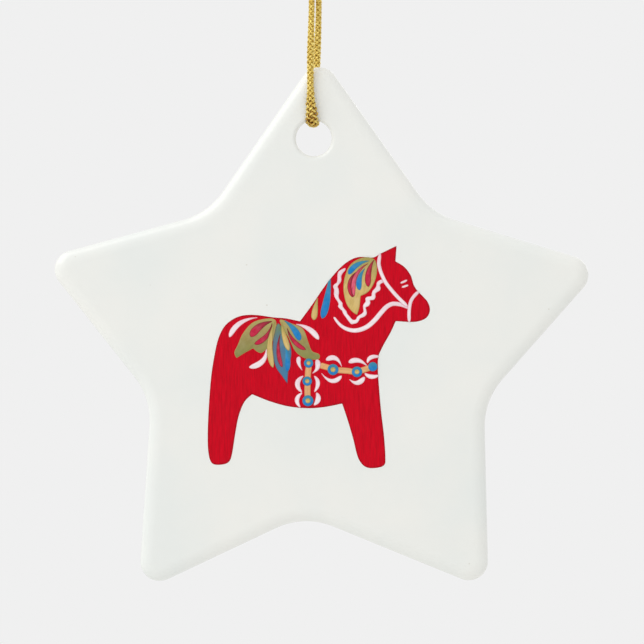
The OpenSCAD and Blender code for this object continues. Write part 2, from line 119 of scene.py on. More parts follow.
# The route of each strand of cord, in millimetres, from the middle of the hole up to the knot
FRONT_ROUTE = [
    (-0.1, 0, -49.55), (-0.12, -0.6, -49.55), (-0.16, -1.17, -49.44), (-0.2, -1.66, -49.11),
    (-0.25, -1.99, -48.62), (-0.32, -2.1, -48.05), (-0.42, -2.06, -46.5), (-0.47, -2.02, -43.5),
    (-0.46, -2, -40.7), (-0.42, -1.75, -38.5), (-0.37, -1.15, -36), (-0.31, -0.55, -33.5),
    (-0.31, -0.15, -31), (-0.42, 0, -28.5), (-0.6, 0, -25.5), (-0.72, 0, -20.5),
    (-0.9, 0, -14.5), (-1.1, 0, -8.5), (-1.25, 0, -4.5), (-1.33, 0, -2.1),
    (-1.2, 0, -0.6), (-0.8, 0, 0.3), (-0.52, 0, 1.1), (-0.48, 0, 1.9),
]
BACK_ROUTE = [
    (-0.1, 0, -49.55), (-0.04, 0.6, -49.55), (0.04, 1.17, -49.44), (0.12, 1.66, -49.11),
    (0.22, 1.99, -48.62), (0.3, 2.1, -48.05), (0.36, 2.06, -46.5), (0.4, 2.02, -43.5),
    (0.44, 2, -40.7), (0.52, 1.75, -38.5), (0.62, 1.15, -36), (0.68, 0.55, -33.5),
    (0.7, 0.15, -31), (0.66, 0, -28.5), (0.6, 0, -25.5), (0.72, 0, -20.5),
    (0.9, 0, -14.5), (1.1, 0, -8.5), (1.25, 0, -4.5), (1.33, 0, -2.1),
    (1.2, 0, -0.6), (0.8, 0, 0.3), (0.52, 0, 1.1), (0.48, 0, 1.9),
]
TAIL_LEFT = [
    (-0.48, 0, 4.9), (-0.52, 0, 5.6), (-0.8, -0.1, 7.2), (-1.3, -0.2, 9), (-1.9, -0.2, 10.8)
]
TAIL_RIGHT = [
    (0.48, 0, 4.9), (0.55, 0, 5.6), (0.9, 0.2, 7), (1.5, 0.5, 8.6), (2.2, 0.9, 10)
]


def linear(red, green, blue):
    """A colour given from 0 to 255 as a screen shows it, as linear values."""
    return tuple(((c / 255 + 0.055) / 1.055) ** 2.4 if c > 10 else c / 3294.6 for c in (red, green, blue))


# ---- Settings ----


def size_property(name, about, value, low, high):
    """A length in millimetres that a user may change."""
    return FloatProperty(name=name, description=about, default=value * MM, min=low * MM,
                         max=high * MM, precision=5, unit="LENGTH", subtype="DISTANCE")


def colour_property(name, about, value):
    """A colour that a user may change."""
    return FloatVectorProperty(name=name, description=about, default=value, min=0, max=1,
                               size=3, subtype="COLOR")


class StarSettings(bpy.types.PropertyGroup):
    """Sizes and colour of the porcelain star."""

    edge_reach: size_property("Edge reach", "How far the soft edge reaches in", 1.9, 0.4, 2.4)
    edge_depth: size_property("Edge depth", "How deep the soft edge goes", 1.1, 0.4, 1.4)
    hole_diameter: size_property("Hole diameter", "Diameter of the hanging hole", 5, 4, 6)
    lip_radius: size_property("Lip radius", "Radius of the hole's soft lips", 0.6, 0.2, 1)
    porcelain: colour_property("Porcelain", "Colour of the glazed body", linear(240, 240, 235))
    gloss: FloatProperty(name="Roughness", description="Roughness of the glaze", default=0.2,
                         min=0.02, max=1)


class PaintSettings(bpy.types.PropertyGroup):
    """Colours of the painted horse."""

    red: colour_property("Red", "Ground of the horse", linear(201, 5, 31))
    green: colour_property("Green", "Saddle leaves", linear(161, 142, 90))
    teal: colour_property("Teal", "Middle leaf of the saddle", linear(84, 124, 138))
    white: colour_property("White", "White strokes", linear(247, 234, 237))
    crimson: colour_property("Crimson", "Crimson petals", linear(178, 34, 64))
    pink: colour_property("Pink", "Pink petal", linear(205, 84, 108))
    ochre: colour_property("Ochre", "Ochre leaves and centres", linear(212, 182, 112))
    amber: colour_property("Amber", "Harness straps", linear(222, 168, 112))
    blue: colour_property("Blue", "Blue petals and rings", linear(38, 128, 186))
    relief: FloatProperty(name="Relief", description="Share of the paint's thickness that the "
                          "strokes rise to", default=0.9, min=0.1, max=1)


class CordSettings(bpy.types.PropertyGroup):
    """Sizes and colour of the gold braid."""

    diameter: size_property("Cord diameter", "Diameter of the round braid", 0.85, 0.5, 1.2)
    lay: size_property("Braid lay", "Length of one full turn of a strand", 2.9, 2, 6)
    strands: IntProperty(name="Strands each way", description="Strands that wind each way",
                         default=4, min=3, max=8)
    gold: colour_property("Gold", "Colour of the metal yarn", linear(244, 201, 82))


class StageSettings(bpy.types.PropertyGroup):
    """Light, floor and camera."""

    backdrop: colour_property("Backdrop", "Plain colour behind the ornament", linear(240, 240, 240))
    fill: FloatProperty(name="Fill light", description="Strength of the even light", default=0.82,
                        min=0, max=4)
    key: FloatProperty(name="Key light", description="Power of the soft key light", default=2.45,
                       min=0, max=100, unit="POWER")
    view_width: FloatProperty(name="View width", description="Width of the view at the ornament",
                              default=0.0904, min=0.02, max=1, unit="LENGTH", subtype="DISTANCE")


# ---- Curves and outlines ----


SPAN_STEPS = 24  # points on the curve between two points of a route
CHUNK = 2000  # points measured at once, which keeps the arrays small


def smooth_route(points, step):
    """A smooth curve in metres through points in millimetres, resampled to even steps."""
    p = np.array(points, float) * MM
    p = np.vstack([2 * p[0] - p[1], p, 2 * p[-1] - p[-2]])
    t = np.linspace(0, 1, SPAN_STEPS, endpoint=False)[:, None]
    dense = []
    for a, b, c, d in zip(p, p[1:], p[2:], p[3:]):
        dense.append(0.5 * (2 * b + (c - a) * t + (2 * a - 5 * b + 4 * c - d) * t**2
                            + (3 * (b - c) + d - a) * t**3))
    dense = np.vstack(dense + [p[-2][None]])
    along = lengths_along(dense)
    even = np.linspace(0, along[-1], max(int(round(along[-1] / step)), 2) + 1)
    return np.column_stack([np.interp(even, along, dense[:, k]) for k in range(3)])


def lengths_along(route):
    """How far along a row of points each of them lies."""
    return np.concatenate([[0], np.cumsum(np.linalg.norm(np.diff(route, axis=0), axis=1))])


def length_of(route):
    """The length of a row of points."""
    return float(np.linalg.norm(np.diff(route, axis=0), axis=1).sum())


def front_outlines(node):
    """The outlines of a CAD node's front face, one (n, 2) array of x and z for each island."""
    mesh = frame["nodes"][node].data
    co = np.array([v.co for v in mesh.vertices])
    near = co[:, 1].min() + 1e-6
    key = [tuple(np.round(c * 1e7).astype(int)) for c in co]
    place = {k: c for k, c in zip(key, co)}
    edges = set()
    for face in mesh.polygons:
        if all(co[i][1] < near for i in face.vertices):
            ring = [key[i] for i in face.vertices]
            edges.update(zip(ring, ring[1:] + ring[:1]))
    after = {a: b for a, b in edges if (b, a) not in edges}
    outlines = []
    while after:
        start, loop = min(after), []
        while start in after:
            loop.append(place[start][[0, 2]])
            start = after.pop(start)
        outlines.append(np.array(loop))
    return outlines


def even_loop(loop, step, soften):
    """A closed loop resampled to even steps, with its corners softened over that length."""
    closed = np.vstack([loop, loop[:1]])
    along = lengths_along(closed)
    n = max(int(along[-1] / step), 12)
    even = np.linspace(0, along[-1], n, endpoint=False)
    p = np.column_stack([np.interp(even, along, closed[:, k]) for k in range(2)])
    reach = int(3 * soften / step) + 1
    weights = np.exp(-0.5 * (np.arange(-reach, reach + 1) * step / soften) ** 2)
    weights /= weights.sum()
    return sum(w * np.roll(p, k, axis=0) for w, k in zip(weights, range(-reach, reach + 1)))


def distance_to(points, loop):
    """How far each point lies from a closed loop."""
    a, b = loop, np.roll(loop, -1, axis=0)
    d = b - a
    size = (d**2).sum(1) + 1e-20
    result = np.empty(len(points))
    for i in range(0, len(points), CHUNK):
        v = points[i:i + CHUNK, None] - a
        t = np.clip((v * d).sum(2) / size, 0, 1)
        result[i:i + CHUNK] = np.sqrt(((v - t[..., None] * d) ** 2).sum(2).min(1))
    return result


def inside(points, loop):
    """Which points lie inside a closed loop."""
    a, b = loop, np.roll(loop, -1, axis=0)
    result = np.zeros(len(points), bool)
    for (ax, az), (bx, bz) in zip(a, b):
        if az == bz:
            continue
        crosses = (az > points[:, 1]) != (bz > points[:, 1])
        at = (bx - ax) * (points[:, 1] - az) / (bz - az) + ax
        result ^= crosses & (points[:, 0] < at)
    return result


def fill_area(loops, step):
    """Triangles that fill the area in the first loop and outside the others, as (points, faces)."""
    low, high = loops[0].min(0), loops[0].max(0)
    rows = np.arange(low[1], high[1], step * math.sqrt(3) / 2)
    grid = np.array([(x, z) for i, z in enumerate(rows)
                     for x in np.arange(low[0] + (i % 2) * step / 2, high[0], step)])
    grid = grid[inside(grid, loops[0])]
    for loop in loops:
        grid = grid[distance_to(grid, loop) > 0.6 * step] if len(grid) else grid
    for loop in loops[1:]:
        grid = grid[~inside(grid, loop)]
    points = np.vstack(loops + ([grid] if len(grid) else []))
    edges, first = [], 0
    for loop in loops:
        n = len(loop)
        edges += [(first + i, first + (i + 1) % n) for i in range(n)]
        first += n
    made = delaunay_2d_cdt([Vector(p / MM) for p in points], edges, [], 0, 1e-7)
    out = np.array(made[0]) * MM
    faces = [list(f) for f in made[2]]
    middles = np.array([out[f].mean(0) for f in faces])
    keep = inside(middles, loops[0])
    for loop in loops[1:]:
        keep &= ~inside(middles, loop)
    return out, [f for f, k in zip(faces, keep) if k]


def outer_ring(faces):
    """The border of a patch of triangles, as directed edges that run round it."""
    edges = set()
    for f in faces:
        edges.update(zip(f, f[1:] + f[:1]))
    return [(a, b) for a, b in edges if (b, a) not in edges]


# ---- Mesh helpers ----


def new_piece(name, vertices, faces, material):
    """A mesh object of those vertices and faces, in the frame's own metres."""
    mesh = bpy.data.meshes.new(name)
    mesh.from_pydata([tuple(map(float, v)) for v in vertices], [], [list(map(int, f)) for f in faces])
    mesh.materials.append(material)
    mesh.polygons.foreach_set("use_smooth", [True] * len(mesh.polygons))
    mesh.update()
    piece = bpy.data.objects.new(name, mesh)
    bpy.context.scene.collection.objects.link(piece)
    return piece


def write_values(mesh, name, values):
    """A named value or vector for each vertex, which a material may read."""
    values = np.asarray(values, float)
    flat = values.ndim == 1
    layer = mesh.attributes.new(name, "FLOAT" if flat else "FLOAT_VECTOR", "POINT")
    layer.data.foreach_set("value" if flat else "vector", values.ravel().astype(np.float32))


def weld(piece, distance):
    """Joins vertices that lie together and turns all faces outwards."""
    work = bmesh.new()
    work.from_mesh(piece.data)
    bmesh.ops.remove_doubles(work, verts=work.verts, dist=distance)
    bmesh.ops.recalc_face_normals(work, faces=work.faces)
    work.to_mesh(piece.data)
    work.free()


# ---- Shader node groups ----


def new_group(name, inputs, outputs):
    """An empty shader node group with those sockets, its tree, its input and its output node."""
    tree = bpy.data.node_groups.new(name, "ShaderNodeTree")
    for label, kind, value in inputs:
        socket = tree.interface.new_socket(label, in_out="INPUT", socket_type=kind)
        if value is not None:
            socket.default_value = value
    for label, kind in outputs:
        tree.interface.new_socket(label, in_out="OUTPUT", socket_type=kind)
    return tree, tree.nodes.new("NodeGroupInput"), tree.nodes.new("NodeGroupOutput")


def math_node(tree, operation, first, second=None, clamp=False):
    """A math node on two values, each a socket or a number. Returns its result."""
    node = tree.nodes.new("ShaderNodeMath")
    node.operation = operation
    node.use_clamp = clamp
    for socket, value in zip(node.inputs, (first, second)):
        if value is None:
            continue
        if isinstance(value, (int, float)):
            socket.default_value = value
        else:
            tree.links.new(value, socket)
    return node.outputs[0]


def noise(tree, vector, scale, detail=2.0, rough=0.5):
    """A noise texture's value along a vector."""
    node = tree.nodes.new("ShaderNodeTexNoise")
    node.inputs["Detail"].default_value = detail
    node.inputs["Roughness"].default_value = rough
    tree.links.new(vector, node.inputs["Vector"])
    if isinstance(scale, (int, float)):
        node.inputs["Scale"].default_value = scale
    else:
        tree.links.new(scale, node.inputs["Scale"])
    return node.outputs["Fac"]


def spread(tree, value, low, high):
    """The value mapped so that low gives 0 and high gives 1, held between them."""
    node = tree.nodes.new("ShaderNodeMapRange")
    tree.links.new(value, node.inputs["Value"])
    node.inputs["From Min"].default_value = low
    node.inputs["From Max"].default_value = high
    return node.outputs["Result"]


def glaze_group():
    """Fired glaze: a slow swell, fine pinholes and a faint mottle of its colour."""
    if "Fired Glaze" in bpy.data.node_groups:
        return bpy.data.node_groups["Fired Glaze"]
    tree, given, result = new_group(
        "Fired Glaze",
        [("Vector", "NodeSocketVector", None), ("Swell", "NodeSocketFloat", 1.0),
         ("Pinholes", "NodeSocketFloat", 1.0)],
        [("Mottle", "NodeSocketFloat"), ("Height", "NodeSocketFloat"), ("Specks", "NodeSocketFloat")])
    vector = given.outputs["Vector"]
    swell = math_node(tree, "MULTIPLY", noise(tree, vector, 140, 1.0), given.outputs["Swell"])
    ripple = math_node(tree, "MULTIPLY", noise(tree, vector, 700, 2.0), 0.06)
    cells = tree.nodes.new("ShaderNodeTexVoronoi")
    cells.inputs["Scale"].default_value = 420
    tree.links.new(vector, cells.inputs["Vector"])
    specks = math_node(tree, "SUBTRACT", 1.0, spread(tree, cells.outputs["Distance"], 0.02, 0.07))
    rare = spread(tree, noise(tree, vector, 300, 0.0), 0.62, 0.7)
    specks = math_node(tree, "MULTIPLY", specks, rare)
    specks = math_node(tree, "MULTIPLY", specks, given.outputs["Pinholes"], clamp=True)
    height = math_node(tree, "ADD", swell, ripple)
    height = math_node(tree, "SUBTRACT", height, math_node(tree, "MULTIPLY", specks, 0.2))
    tree.links.new(noise(tree, vector, 60, 3.0), result.inputs["Mottle"])
    tree.links.new(height, result.inputs["Height"])
    tree.links.new(specks, result.inputs["Specks"])
    return tree


def brush_group():
    """Brush marks: long streaks that the hairs leave along the stroke, and patches of thin paint."""
    if "Brush Marks" in bpy.data.node_groups:
        return bpy.data.node_groups["Brush Marks"]
    tree, given, result = new_group(
        "Brush Marks",
        [("Vector", "NodeSocketVector", None), ("Hairs", "NodeSocketFloat", 5000.0),
         ("Length", "NodeSocketFloat", 0.12), ("Patches", "NodeSocketFloat", 700.0),
         ("Broad", "NodeSocketFloat", 0.4)],
        [("Streaks", "NodeSocketFloat"), ("Thin", "NodeSocketFloat"), ("Height", "NodeSocketFloat")])
    parts = tree.nodes.new("ShaderNodeSeparateXYZ")
    tree.links.new(given.outputs["Vector"], parts.inputs[0])
    joined = tree.nodes.new("ShaderNodeCombineXYZ")
    stretched = math_node(tree, "MULTIPLY", parts.outputs[0], given.outputs["Length"])
    tree.links.new(stretched, joined.inputs[0])
    tree.links.new(parts.outputs[1], joined.inputs[1])
    tree.links.new(parts.outputs[2], joined.inputs[2])
    fine = noise(tree, joined.outputs[0], given.outputs["Hairs"], 2.0, 0.6)
    broad = noise(tree, joined.outputs[0], math_node(tree, "MULTIPLY", given.outputs["Hairs"], 0.35), 1.0)
    step = math_node(tree, "MULTIPLY", math_node(tree, "SUBTRACT", broad, fine), given.outputs["Broad"])
    streaks = spread(tree, math_node(tree, "ADD", fine, step), 0.36, 0.64)
    thin = spread(tree, noise(tree, given.outputs["Vector"], given.outputs["Patches"], 3.0), 0.4, 0.68)
    tree.links.new(streaks, result.inputs["Streaks"])
    tree.links.new(thin, result.inputs["Thin"])
    tree.links.new(streaks, result.inputs["Height"])
    return tree


def yarn_group():
    """Metal yarn: flat filaments along each strand, with bright and dull stretches that stand for painted
    glints.
    """
    if "Metal Yarn" in bpy.data.node_groups:
        return bpy.data.node_groups["Metal Yarn"]
    tree, given, result = new_group(
        "Metal Yarn",
        [("Vector", "NodeSocketVector", None), ("Filaments", "NodeSocketFloat", 7.0)],
        [("Glint", "NodeSocketFloat"), ("Height", "NodeSocketFloat")])
    parts = tree.nodes.new("ShaderNodeSeparateXYZ")
    tree.links.new(given.outputs["Vector"], parts.inputs[0])
    twist = math_node(tree, "ADD", math_node(tree, "MULTIPLY", parts.outputs[0], 2.2), parts.outputs[1])
    wave = math_node(tree, "SINE", math_node(tree, "MULTIPLY", twist, given.outputs["Filaments"]))
    joined = tree.nodes.new("ShaderNodeCombineXYZ")
    tree.links.new(math_node(tree, "MULTIPLY", parts.outputs[0], 1.6), joined.inputs[0])
    tree.links.new(twist, joined.inputs[1])
    tree.links.new(parts.outputs[2], joined.inputs[2])
    glint = spread(tree, noise(tree, joined.outputs[0], 2.0, 1.0, 0.6), 0.42, 0.6)
    tree.links.new(glint, result.inputs["Glint"])
    tree.links.new(wave, result.inputs["Height"])
    return tree


# ---- Materials ----


class Finish:
    """A material under construction: its tree, its shader and short ways to join nodes."""

    def __init__(self, name):
        self.material = bpy.data.materials.new(name)
        self.material.use_nodes = True
        self.tree = self.material.node_tree
        self.shader = self.tree.nodes["Principled BSDF"]

    def set(self, **values):
        """Plain values for the shader's own sockets, with _ for a space in a socket's name."""
        for label, value in values.items():
            self.shader.inputs[label.replace("_", " ")].default_value = value
        return self

    def place(self, kind):
        return self.tree.nodes.new(kind)

    def object_place(self):
        return self.place("ShaderNodeTexCoord").outputs["Object"]

    def attribute(self, name):
        node = self.place("ShaderNodeAttribute")
        node.attribute_name = name
        return node

    def group(self, tree, vector, **values):
        """A shader node group along a vector, with its own values."""
        node = self.place("ShaderNodeGroup")
        node.node_tree = tree
        self.tree.links.new(vector, node.inputs["Vector"])
        for label, value in values.items():
            node.inputs[label].default_value = value
        return node

    def blend(self, factor, first, second):
        """Two colours, each a socket or a colour, blended by a value."""
        node = self.place("ShaderNodeMix")
        node.data_type = "RGBA"
        self.tree.links.new(factor, node.inputs["Factor"])
        for socket, value in zip((node.inputs[6], node.inputs[7]), (first, second)):
            if isinstance(value, (tuple, list)):
                socket.default_value = (*value, 1)
            else:
                self.tree.links.new(value, socket)
        return node.outputs[2]

    def colour(self, socket):
        self.tree.links.new(socket, self.shader.inputs["Base Color"])

    def roughness(self, value, low, high):
        """Roughness that goes from low to high with a value."""
        node = self.place("ShaderNodeMapRange")
        self.tree.links.new(value, node.inputs["Value"])
        node.inputs["To Min"].default_value = low
        node.inputs["To Max"].default_value = high
        self.tree.links.new(node.outputs["Result"], self.shader.inputs["Roughness"])

    def bumps(self, *layers):
        """Bumps laid one on the next, each (height, distance in metres, strength)."""
        normal = None
        for height, distance, strength in layers:
            node = self.place("ShaderNodeBump")
            node.inputs["Distance"].default_value = distance
            node.inputs["Strength"].default_value = strength
            self.tree.links.new(height, node.inputs["Height"])
            if normal:
                self.tree.links.new(normal, node.inputs["Normal"])
            normal = node.outputs["Normal"]
        self.tree.links.new(normal, self.shader.inputs["Normal"])


def tint(colour, factor):
    """A colour made lighter above 1 or deeper below it."""
    return tuple(min(1.0, c * factor) for c in colour)


def toward(colour, other, share):
    """A colour moved towards another by that share."""
    return tuple(c + (o - c) * share for c, o in zip(colour, other))


def porcelain_finish(settings):
    """White body under a clear glaze that has pooled a little and holds a few pinholes."""
    made = Finish("glazed_porcelain").set(IOR=1.5, Coat_Weight=0.25, Coat_Roughness=0.08)
    glaze = made.group(glaze_group(), made.object_place(), Swell=1.0, Pinholes=1.0)
    base = tuple(settings.porcelain)
    cool = toward(base, linear(228, 234, 232), 0.5)
    body = made.blend(spread(made.tree, glaze.outputs["Mottle"], 0.35, 0.65), base, cool)
    made.colour(made.blend(glaze.outputs["Specks"], body, linear(206, 200, 186)))
    made.roughness(glaze.outputs["Mottle"], settings.gloss * 0.8, settings.gloss * 1.3)
    made.bumps((glaze.outputs["Height"], 2e-5, 0.5))
    return made.material


# How the broad brush of the horse's ground marks it, and the fine brush of the strokes on it
BROAD_BRUSH = {"Hairs": 8500.0, "Length": 0.05, "Patches": 420.0, "Broad": 0.15}
FINE_BRUSH = {"Hairs": 6500.0, "Length": 0.12, "Patches": 1100.0, "Broad": 0.4}

# For each colour: how dark its deep streaks are, how light its thin ones, what its rim goes to,
# and what it goes to at the upper end of a stroke, where the brush first touched, and at its foot
PAINT_LOOKS = {
    "red": (0.81, 1.15, (160, 8, 26), None, None),
    "green": (0.74, 1.22, (168, 150, 92), (178, 166, 102), (127, 138, 76)),
    "teal": (0.8, 1.2, (92, 84, 104), None, None),
    "white": (0.88, 1.04, (228, 176, 188), (236, 210, 218), None),
    "crimson": (0.72, 1.45, (112, 50, 46), (134, 46, 54), (204, 40, 72)),
    "pink": (0.72, 1.45, (150, 22, 52), (178, 70, 84), None),
    "ochre": (0.86, 1.1, (160, 146, 84), (160, 152, 86), None),
    "amber": (0.86, 1.12, (200, 124, 84), None, None),
    "blue": (0.8, 1.3, (78, 124, 146), (66, 140, 160), (30, 122, 196)),
}


def paint_finish(name, settings):
    """Overglaze colour: brushed on in streaks, thin in patches, and fired to a soft shine."""
    deep, light, rim, root, foot = PAINT_LOOKS[name]
    base = tuple(getattr(settings, name))
    made = Finish(name + "_enamel").set(IOR=1.5, Specular_IOR_Level=0.07)
    broad = name == "red"
    marks = BROAD_BRUSH if broad else FINE_BRUSH
    brush = made.group(brush_group(), made.attribute("brush").outputs["Vector"], **marks)
    glaze = made.group(glaze_group(), made.object_place(), Swell=0.6, Pinholes=0.3)
    shade = made.blend(brush.outputs["Streaks"], tint(base, deep), tint(base, light))
    paler = toward(tint(base, light), (1, 1, 1), 0.006 if broad else 0.12)
    thin = math_node(made.tree, "MULTIPLY", brush.outputs["Thin"], 0.1 if broad else 0.4)
    shade = made.blend(thin, shade, paler)
    if name == "teal":
        shade = middle_leaf_shade(made, brush, shade)
    down = math_node(made.tree, "ADD", made.attribute("run").outputs["Fac"],
                     math_node(made.tree, "MULTIPLY", brush.outputs["Streaks"], 0.25))
    if foot:
        shade = made.blend(spread(made.tree, down, 0.45, 1.35), shade, linear(*foot))
    if root:
        shade = made.blend(spread(made.tree, down, 0.05, 0.7), linear(*root), shade)
    inner = spread(made.tree, made.attribute("rim").outputs["Fac"], 0.0, 1.0)
    made.colour(made.blend(inner, linear(*rim), shade))
    made.roughness(brush.outputs["Streaks"], 0.34, 0.24)
    made.bumps((glaze.outputs["Height"], 2e-5, 0.4), (brush.outputs["Height"], 8e-6, 0.5))
    return made.material


def middle_leaf_shade(made, brush, shade):
    """The middle leaf goes from olive at its root to grey blue, and bluer to its right and its tip."""
    low, high = (Vector(c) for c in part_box("saddle_leaf_middle"))
    parts = made.place("ShaderNodeSeparateXYZ")
    made.tree.links.new(made.object_place(), parts.inputs[0])
    right = spread(made.tree, parts.outputs[0], low.x, high.x)
    down = spread(made.tree, parts.outputs[2], high.z, low.z)
    amount = math_node(made.tree, "ADD", math_node(made.tree, "MULTIPLY", right, 0.7),
                       math_node(made.tree, "MULTIPLY", down, 0.45))
    amount = math_node(made.tree, "ADD", amount,
                       math_node(made.tree, "MULTIPLY", brush.outputs["Streaks"], 0.35))
    amount = spread(made.tree, amount, 0.45, 1.25)
    turning = made.blend(amount, linear(98, 120, 142), linear(60, 127, 168))
    streaked = math_node(made.tree, "ADD", down,
                         math_node(made.tree, "MULTIPLY", brush.outputs["Streaks"], 0.2))
    turning = made.blend(spread(made.tree, streaked, 0.12, 0.42), linear(112, 136, 72), turning)
    return made.blend(spread(made.tree, brush.outputs["Thin"], 0.2, 1.6), turning, shade)


GLINT = (1, 0.93, 0.5)  # painted highlight: what the gold goes towards where a filament catches the light
DIP_SHADE_GOLD = linear(158, 98, 20)  # painted shade: what the gold goes to in the dips of the braid


def gold_finish(settings):
    """Gold yarn: flat metal filaments, with painted highlights on the crowns of the braid and painted
    shade in its dips.
    """
    made = Finish("gold_braid").set(Metallic=0.85, IOR=1.45)
    ply = made.attribute("ply").outputs["Vector"]
    yarn = made.group(yarn_group(), ply, Filaments=7.0)
    base = tuple(settings.gold)
    depth = made.attribute("depth").outputs["Fac"]
    # Painted highlights: the glint blends a dulled copy of the gold with a brightened one
    bright = toward(tint(base, 1.3), GLINT, 0.4)
    lit = made.blend(yarn.outputs["Glint"], tint(base, 0.68), bright)
    # Painted shade: the gold darkens towards the dip colour where the depth is low
    made.colour(made.blend(spread(made.tree, depth, -0.35, 0.55), DIP_SHADE_GOLD, lit))
    made.roughness(yarn.outputs["Glint"], 0.45, 0.25)
    made.bumps((yarn.outputs["Height"], 1.2e-5, 0.7))
    return made.material


# ---- The star ----

EDGE_RINGS = 12
LIP_RINGS = 8
HOLE_POINTS = 128
OUTLINE_STEP = 0.35 * MM
FACE_STEP = 1.1 * MM
LEVEL_BAND = 0.12 * MM  # beside a soft edge, so that it shades into the flat face
ROUND_HOLE = 4 * MM  # points nearer than this to the hole's axis belong to the hole
SAME_PLACE = 2e-7


def outline_level():
    """The star's outline: the CAD body's points on the flat band round its side, in order."""
    mesh = frame["nodes"]["star_body"].data
    co = np.array([v.co for v in mesh.vertices])
    edge_y = FACE_Y + bpy.context.scene.star_settings.edge_depth
    band = co[np.abs(co[:, 1] - edge_y) < 2e-6][:, [0, 2]]
    band = np.unique(np.round(band, 7), axis=0)
    band = band[np.linalg.norm(band - HOLE[[0, 2]], axis=1) > ROUND_HOLE]
    centre = band.mean(0)
    order = np.argsort(np.arctan2(*(band - centre).T[::-1]))
    return band[order]


def rounded_outline(step):
    """That outline with its arcs made truly round, and the outward normal at each point."""
    p = outline_level()
    n = len(p)
    chord = np.roll(p, -1, axis=0) - p
    size = np.linalg.norm(chord, axis=1)
    unit = chord / size[:, None]
    before, before_size = np.roll(unit, 1, axis=0), np.roll(size, 1)
    tangent = unit + before
    # Where an arc meets a long straight side, the curve takes the side's direction
    tangent[size > 3 * before_size] = unit[size > 3 * before_size]
    tangent[before_size > 3 * size] = before[before_size > 3 * size]
    tangent /= np.linalg.norm(tangent, axis=1)[:, None]
    points, normals = [], []
    for i in range(n):
        a, b, ta, tb, s = p[i], p[(i + 1) % n], tangent[i], tangent[(i + 1) % n], size[i]
        for t in np.linspace(0, 1, max(int(math.ceil(s / step)), 1), endpoint=False):
            points.append((2 * t**3 - 3 * t**2 + 1) * a + (t**3 - 2 * t**2 + t) * s * ta
                          + (3 * t**2 - 2 * t**3) * b + (t**3 - t**2) * s * tb)
            d = ((6 * t**2 - 6 * t) * (a - b) / s + (3 * t**2 - 4 * t + 1) * ta + (3 * t**2 - 2 * t) * tb)
            normals.append(np.array([d[1], -d[0]]) / np.linalg.norm(d))
    return np.array(points), np.array(normals)


def ring_of(radius, count):
    """A circle round the hanging hole."""
    a = np.arange(count) / count * TURN
    return HOLE[[0, 2]] + radius * np.column_stack([np.cos(a), np.sin(a)])


def skin_rings(rings, first):
    """Quads between rings of the same count, whose vertices start at first."""
    n = len(rings[0])
    return [(first + i * n + j, first + i * n + (j + 1) % n,
             first + (i + 1) * n + (j + 1) % n, first + (i + 1) * n + j)
            for i in range(len(rings) - 1) for j in range(n)]


def solid_rings(rings_2d, levels):
    """Rings of x and z set at their places through the thickness."""
    return [np.column_stack([r[:, 0], np.full(len(r), y), r[:, 1]]) for r, y in zip(rings_2d, levels)]


def make_star(settings):
    """The porcelain star: soft edges all round, a lipped hole and flat faces of even triangles."""
    outline, normals = rounded_outline(OUTLINE_STEP)
    angles = np.linspace(0, math.pi / 2, EDGE_RINGS + 1)
    insets = [settings.edge_reach * (1 - math.cos(a)) for a in angles]
    drops = [settings.edge_depth * (1 - math.sin(a)) for a in angles]
    insets.append(settings.edge_reach + LEVEL_BAND)
    drops.append(0.0)
    side = [outline - normals * i for i in insets]
    rings = solid_rings(side, [FACE_Y + d for d in drops])
    rings = rings[::-1] + solid_rings(side, [BACK_Y - d for d in drops])
    vertices, faces = list(np.vstack(rings)), skin_rings(rings, 0)

    hole_r, lip = settings.hole_diameter / 2, settings.lip_radius
    lips = np.linspace(0, math.pi / 2, LIP_RINGS + 1)
    radii = [hole_r + lip + LEVEL_BAND] + [hole_r + lip * (1 - math.sin(a)) for a in lips]
    levels = [0.0] + [lip * (1 - math.cos(a)) for a in lips]
    circles = [ring_of(r, HOLE_POINTS) for r in radii]
    rings = solid_rings(circles, [FACE_Y + d for d in levels])
    rings += solid_rings(circles[::-1], [BACK_Y - d for d in levels[::-1]])
    faces += skin_rings(rings, len(vertices))
    vertices += list(np.vstack(rings))

    for y in (FACE_Y, BACK_Y):
        points, triangles = fill_area([side[-1], circles[0]], FACE_STEP)
        first = len(vertices)
        vertices += [(p[0], y, p[1]) for p in points]
        faces += [[first + i for i in f] for f in triangles]
    star = new_piece("porcelain_star", vertices, faces, porcelain_finish(settings))
    weld(star, SAME_PLACE)
    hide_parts("star_body")
    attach(star, "star")


# ---- The painted horse ----

# The step along an outline, the step over its area, and the width of its round edge
GROUND_STEPS = (0.09 * MM, 0.24 * MM, 0.12 * MM)
STROKE_STEPS = (0.05 * MM, 0.1 * MM, 0.09 * MM)
CORNER_SOFTNESS = 0.06 * MM
RIM_WIDTH = 0.11 * MM
SUNK = 0.01 * MM  # how far each layer starts inside the one below it
CREASE = math.radians(50)


